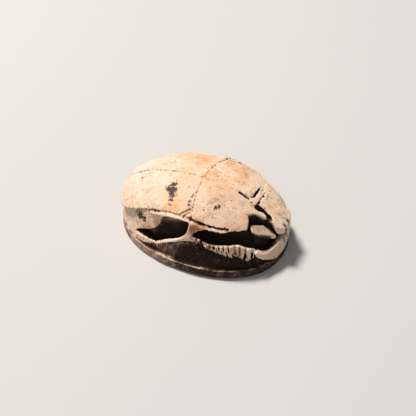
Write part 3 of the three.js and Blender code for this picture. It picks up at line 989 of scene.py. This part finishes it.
def stone_layers(noise, at):
    """Amount and colour of each layer of the clean stone, from the lowest up; the paler tail is
    partly a painted highlight.
    """
    # Paler streaks at the tail: partly the stone's own paler tone, partly a painted highlight on
    # the end that faces the key light.
    tail_pale_and_highlight = (at.tail * (0.55 + sway(noise.streak, 2.2))).held() * 0.8
    tan = (at.tanned * 0.5 + noise.mottle.step(0.46, 0.72) * 0.55
           + sway(noise.grain, 1.6) + sway(noise.speckle, 1.2)).held() * 0.7
    orange = (at.ochre * (noise.mottle.step(0.38, 0.6) * 0.8 + 0.2)).held() * 0.85
    pinkish = at.low * (0.4 + sway(noise.streak, 1.2)).held()
    fine = sway(noise.grain, 4.0) + sway(noise.speckle, 3.2)
    rusty = (at.rust * (1.3 + sway(noise.speckle, 3.0))).held() * 0.9
    worn = at.raised.step(0.1, 0.6) * 0.75
    return [
        (tail_pale_and_highlight, WHITENED), (tan, TAN), (orange, ORANGE), (pinkish, PINKISH),
        (fine.held() * 0.75, WHITENED), ((fine * -1.0).held() * 0.6, TAN),
        (rusty, RUST), (worn, WHITENED),
    ]


def brown_dirt_and_shade_amount(noise, at):
    """Brown dirt and painted shade, wherever the stone is sheltered, cut or hollow, and on the
    plate's rim.
    """
    # Painted shade, partly real brown dirt: hollows, cuts, creases and the rim are painted browner
    # where shade falls.
    amount = (at.sunk.step(0.1, 0.45) * 0.8 + at.shelter.step(0.12, 0.35) * 0.8
              + at.cut.step(0.12, 0.55) * 0.75 + (at.raised * -1.0).step(0.1, 0.5) * 0.6
              + at.rim * 0.75 + sway(noise.mottle, 1.4) + sway(noise.speckle, 0.8))
    return (amount * (1.0 - at.cleaner * 0.55) - 0.12).held() * 0.9


def dirt_and_shade_amount(noise, at):
    """Nearly black dirt and painted shade, in the deeper hollows and cuts, under the legs and
    around the rim.
    """
    # Painted shade and dirt: darker in closed-in places, hollows, creases and cuts, where shade
    # falls.
    amount = (at.shelter.step(0.28, 0.6) + at.sunk.step(0.3, 0.9) * 0.85
              + (at.raised * -1.0).step(0.3, 1.0) * 0.5 + at.cut.step(0.4, 1.0) * 0.9
              # Painted shade: the low wall under the legs and the rim get darker towards the head,
              # as if in shadow.
              + (0.3 + at.shade * 0.8) * (at.sunk.step(0.12, 0.32) + at.rim)
              - at.raised.step(0.3, 0.9) * at.rim * 0.3
              + sway(noise.speckle, 1.6) + sway(noise.mottle, 1.2) - 0.1)
    return amount.held() * (1.0 - at.cleaner * 0.85)


def soot_amount(noise, at):
    """Hard black stains, and flecks all over."""
    stains = (at.stain * 1.7 + sway(noise.speckle, 4.0) + sway(noise.grain, 1.5)).step(0.6, 0.7)
    flecks = (noise.flecks * 0.6 + noise.speckle * 0.4).step(0.69, 0.72) * 0.85
    return stains.larger(flecks)


def steatite():
    """Pale worn stone, with brown and black dirt and painted shade where the marks say they lie,
    and a painted highlight at the tail.
    """
    material = bpy.data.materials.new("steatite")
    material.use_nodes = True
    tree = material.node_tree
    skin = tree.nodes["Principled BSDF"]
    skin.inputs["Specular IOR Level"].default_value = 0.3
    noise, at = noise_patterns(tree), kept_marks(tree)
    dirt_and_shade, soot = dirt_and_shade_amount(noise, at), soot_amount(noise, at)
    colour = blend(tree, noise.cloud.step(0.4, 0.64), PALE, CREAM)
    # The brown and nearly black layers are dirt and painted shade in the hollows, cuts, low wall
    # and rim.
    for amount, paint in [*stone_layers(noise, at), (brown_dirt_and_shade_amount(noise, at), BROWN),
                          (dirt_and_shade * 0.96, DIRT_AND_SHADE), (soot * 0.95, SOOT)]:
        colour = blend(tree, amount, colour, paint)
    rough = 0.6 + dirt_and_shade * 0.3 + sway(noise.mottle, 0.2)
    height = noise.grain * 0.6 + noise.speckle * 0.8 + noise.mottle * 0.6 - soot * 0.3
    bump = node(tree, "ShaderNodeBump", None,
                {"Height": height, "Strength": 0.4, "Distance": 0.00005})[0]
    tree.links.new(colour.socket, skin.inputs["Base Color"])
    tree.links.new(rough.socket, skin.inputs["Roughness"])
    tree.links.new(bump.socket, skin.inputs["Normal"])
    return material


def make_scarab():
    """Carves, wears and marks the stone, then brings it to metres and hands it over."""
    stone = steatite()
    piece = rough_out()
    wear_edges(piece)
    carve(piece, stone)
    hand_cut(piece)
    mark(piece)
    thin_out(piece)
    mesh = piece.data
    points = points_of(mesh)
    points[:, 2] = np.maximum(points[:, 2], 0.0)
    move_points(mesh, points * MM)
    mesh.shade_smooth()
    mesh.materials.clear()
    mesh.materials.append(stone)
    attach(piece, "root")
    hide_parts("scarab_amulet")


place_camera()
light_the_stone()
lay_floor()
make_scarab()
